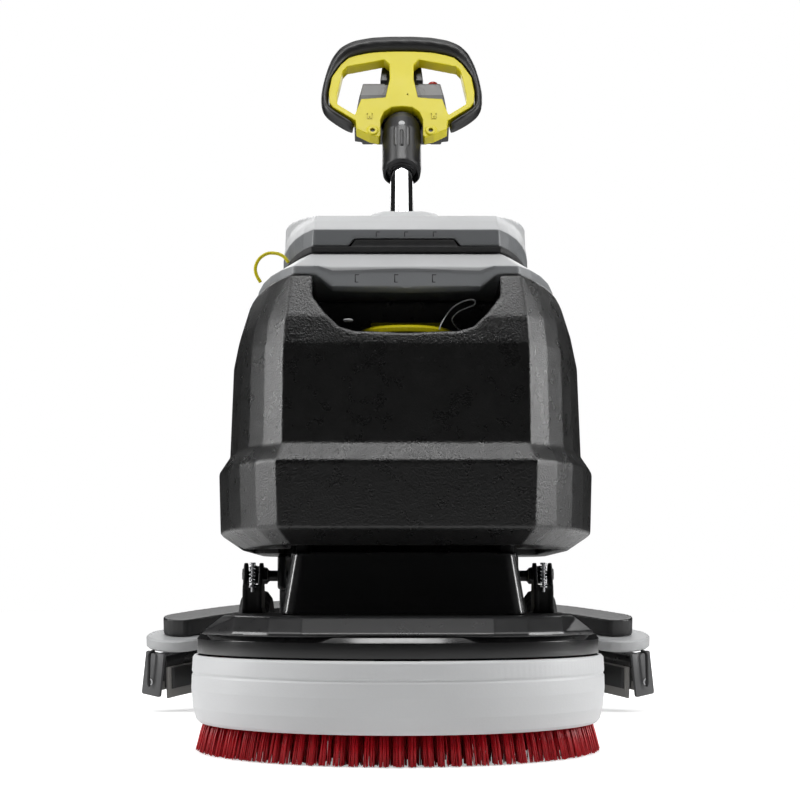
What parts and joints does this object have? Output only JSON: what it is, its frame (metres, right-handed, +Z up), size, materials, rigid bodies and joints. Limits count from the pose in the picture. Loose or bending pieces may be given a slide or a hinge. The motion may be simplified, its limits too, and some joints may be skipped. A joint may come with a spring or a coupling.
{
  "type": "walk-behind floor scrubber dryer",
  "caption": "Walk-behind disc scrubber dryer with stacked tanks, a white-skirted brush head, a curved rear squeegee and a ring handle on a leaning column.",
  "frame": {"origin": "on the floor, under the centre of the whole machine's bounding box, with the brush down and the squeegee raised", "axes": "+Z up, -Y towards the front where the brush is, +Y towards the operator, +X to the right in a view of the machine's front"},
  "size_m": [0.8466, 1.1376, 1.1183],
  "materials": {
    "black_plastic": "fine grained, moulded",
    "dark_plastic": "satin, moulded",
    "grey_plastic": "satin, moulded",
    "mid_grey_plastic": "satin, moulded",
    "yellow_plastic": "semi-gloss",
    "red_plastic": "semi-gloss",
    "black_steel": "powder coated",
    "bright_steel": "zinc plated",
    "chrome": "polished",
    "white_rubber": "smooth, flexible",
    "grey_rubber": "smooth",
    "black_rubber": "soft touch",
    "red_bristle": "nylon bristle"
  },
  "bodies": {
    "chassis": {"chassis_frame": "black_steel", "fresh_tank": "black_plastic", "filler_neck": "black_plastic", "battery_front": "dark_plastic", "battery_rear": "dark_plastic", "main_axle": "bright_steel", "rear_housing": "grey_plastic", "drain_hose": "dark_plastic", "drain_plug": "yellow_plastic", "suction_turbine": "bright_steel", "suction_hose": "dark_plastic", "column_tube": "chrome", "cap_tether": "white_rubber"},
    "cap": {"filler_cap": "yellow_plastic"},
    "waste": {"waste_tank": "grey_plastic", "tank_gasket": "black_rubber", "float_cage": "black_plastic", "side_strap": "yellow_plastic"},
    "lid": {"tank_lid": "grey_plastic"},
    "arms": {"lift_arm_frame": "black_steel"},
    "deck": {"deck_plate": "dark_plastic", "deck_cap": "dark_plastic", "splash_skirt": "white_rubber", "neck_cover": "dark_plastic", "brush_motor": "bright_steel", "deck_bracket_left": "black_steel", "deck_bracket_right": "black_steel"},
    "brush": {"brush_disc": "black_plastic", "brush_bristles": "red_bristle"},
    "pedal": {"deck_pedal": "black_steel"},
    "wheel_left": {"wheel_rim_left": "grey_plastic", "tyre_left": "black_rubber"},
    "wheel_right": {"wheel_rim_right": "grey_plastic", "tyre_right": "black_rubber"},
    "swivel_left": {"caster_fork_left": "bright_steel"},
    "swivel_right": {"caster_fork_right": "bright_steel"},
    "caster_left": {"caster_wheel_left": "grey_rubber"},
    "caster_right": {"caster_wheel_right": "grey_rubber"},
    "squeegee": {"squeegee_carrier": "dark_plastic", "squeegee_body": "black_plastic", "squeegee_blade_front": "grey_rubber", "squeegee_blade_rear": "grey_rubber", "end_cap_left": "dark_plastic", "end_cap_right": "dark_plastic"},
    "roller_left": {"deflector_roller_left": "mid_grey_plastic"},
    "roller_right": {"deflector_roller_right": "mid_grey_plastic"},
    "support_left": {"support_wheel_left": "grey_rubber"},
    "support_right": {"support_wheel_right": "grey_rubber"},
    "knob_left": {"squeegee_knob_left": "yellow_plastic"},
    "knob_right": {"squeegee_knob_right": "yellow_plastic"},
    "squeegee_lever": {"squeegee_lever": "black_steel"},
    "handle": {"grip_ring": "black_rubber", "handle_frame": "yellow_plastic", "clamp_sleeve": "dark_plastic", "control_panel": "black_plastic"},
    "lever_left": {"drive_lever_left": "black_plastic"},
    "lever_right": {"drive_lever_right": "black_plastic"},
    "key": {"key_switch": "bright_steel"},
    "program": {"program_knob": "dark_plastic"},
    "stop": {"stop_button": "red_plastic"}
  },
  "joints": [
    {"name": "waste_tank_tilt", "type": "hinge", "parent": "chassis", "child": "waste", "pos_m": [-0.2135, 0, 0.568], "axis": [0, -1, 0], "range_deg": [0, 70]},
    {"name": "lid_hinge", "type": "hinge", "parent": "waste", "child": "lid", "pos_m": [0.01, 0.097, 0.6275], "axis": [-1, 0, 0], "range_deg": [0, 75]},
    {"name": "cap_turn", "type": "hinge", "parent": "chassis", "child": "cap", "pos_m": [0.01, -0.3665, 0.5], "axis": [0, 0, 1], "range_deg": [0, 90]},
    {"name": "lift_arm", "type": "hinge", "parent": "chassis", "child": "arms", "pos_m": [0, -0.02, 0.2215], "axis": [-1, 0, 0], "range_deg": [0, 9]},
    {"name": "deck_level", "type": "hinge", "parent": "arms", "child": "deck", "pos_m": [0, -0.205, 0.2215], "axis": [-1, 0, 0], "range_deg": [-9, 0]},
    {"name": "deck_pedal_turn", "type": "hinge", "parent": "chassis", "child": "pedal", "pos_m": [0.105, 0.2855, 0.205], "axis": [-1, 0, 0], "range_deg": [0, 15]},
    {"name": "brush_spin", "type": "hinge", "parent": "deck", "child": "brush", "pos_m": [0, -0.308, 0.1], "axis": [0, 0, 1], "continuous": true},
    {"name": "wheel_left_spin", "type": "hinge", "parent": "chassis", "child": "wheel_left", "pos_m": [-0.2095, 0.052, 0.1], "axis": [1, 0, 0], "continuous": true},
    {"name": "wheel_right_spin", "type": "hinge", "parent": "chassis", "child": "wheel_right", "pos_m": [0.2095, 0.052, 0.1], "axis": [1, 0, 0], "continuous": true},
    {"name": "caster_left_swivel", "type": "hinge", "parent": "chassis", "child": "swivel_left", "pos_m": [-0.15, 0.252, 0.106], "axis": [0, 0, 1], "continuous": true},
    {"name": "caster_right_swivel", "type": "hinge", "parent": "chassis", "child": "swivel_right", "pos_m": [0.15, 0.252, 0.106], "axis": [0, 0, 1], "continuous": true},
    {"name": "caster_left_spin", "type": "hinge", "parent": "swivel_left", "child": "caster_left", "pos_m": [-0.15, 0.282, 0.04], "axis": [1, 0, 0], "continuous": true},
    {"name": "caster_right_spin", "type": "hinge", "parent": "swivel_right", "child": "caster_right", "pos_m": [0.15, 0.282, 0.04], "axis": [1, 0, 0], "continuous": true},
    {"name": "squeegee_lift", "type": "hinge", "parent": "chassis", "child": "squeegee", "pos_m": [0, 0.215, 0.1], "axis": [1, 0, 0], "range_deg": [-10.9, 0], "deforming": ["suction_hose"]},
    {"name": "squeegee_lever_turn", "type": "hinge", "parent": "chassis", "child": "squeegee_lever", "pos_m": [-0.105, 0.2775, 0.64], "axis": [1, 0, 0], "range_deg": [-33, 0]},
    {"name": "roller_left_spin", "type": "hinge", "parent": "squeegee", "child": "roller_left", "pos_m": [-0.369, 0.37443, 0.11775], "axis": [0, -0.1908, 0.9816], "continuous": true},
    {"name": "roller_right_spin", "type": "hinge", "parent": "squeegee", "child": "roller_right", "pos_m": [0.369, 0.37443, 0.11775], "axis": [0, -0.1908, 0.9816], "continuous": true},
    {"name": "support_left_spin", "type": "hinge", "parent": "squeegee", "child": "support_left", "pos_m": [-0.27246, 0.37177, 0.05814], "axis": [1, 0, 0], "continuous": true},
    {"name": "support_right_spin", "type": "hinge", "parent": "squeegee", "child": "support_right", "pos_m": [0.27246, 0.37177, 0.05814], "axis": [1, 0, 0], "continuous": true},
    {"name": "knob_left_turn", "type": "hinge", "parent": "squeegee", "child": "knob_left", "pos_m": [-0.12, 0.50324, 0.18659], "axis": [0, -0.1908, 0.9816], "range_deg": [0, 180]},
    {"name": "knob_right_turn", "type": "hinge", "parent": "squeegee", "child": "knob_right", "pos_m": [0.12, 0.50324, 0.18659], "axis": [0, -0.1908, 0.9816], "range_deg": [0, 180]},
    {"name": "handle_height", "type": "slide", "parent": "chassis", "child": "handle", "axis": [0, 0.342, 0.9397], "range_m": [0, 0.05]},
    {"name": "drive_lever_left_pull", "type": "hinge", "parent": "handle", "child": "lever_left", "pos_m": [0.006, 0.32158, 1.07327], "axis": [1, 0, 0], "range_deg": [0, 12], "stiffness_Nm_per_rad": 0.05},
    {"name": "drive_lever_right_pull", "type": "hinge", "parent": "handle", "child": "lever_right", "pos_m": [0.006, 0.32158, 1.07327], "axis": [1, 0, 0], "range_deg": [0, 12], "stiffness_Nm_per_rad": 0.05},
    {"name": "key_turn", "type": "hinge", "parent": "handle", "child": "key", "pos_m": [-0.044, 0.33182, 0.99292], "axis": [0, 0.9993, -0.0367], "range_deg": [0, 90]},
    {"name": "program_turn", "type": "hinge", "parent": "handle", "child": "program", "pos_m": [0.056, 0.33182, 0.99292], "axis": [0, 0.9993, -0.0367], "range_deg": [-60, 60]},
    {"name": "stop_press", "type": "slide", "parent": "handle", "child": "stop", "axis": [0, -0.342, -0.9397], "range_m": [0, 0.003], "stiffness_N_per_m": 300}
  ],
  "couplings": [
    {"joint": "deck_level", "follows": "lift_arm", "ratio": -1},
    {"joint": "deck_pedal_turn", "follows": "lift_arm", "ratio": 1.6},
    {"joint": "squeegee_lever_turn", "follows": "squeegee_lift", "ratio": 3}
  ]
}
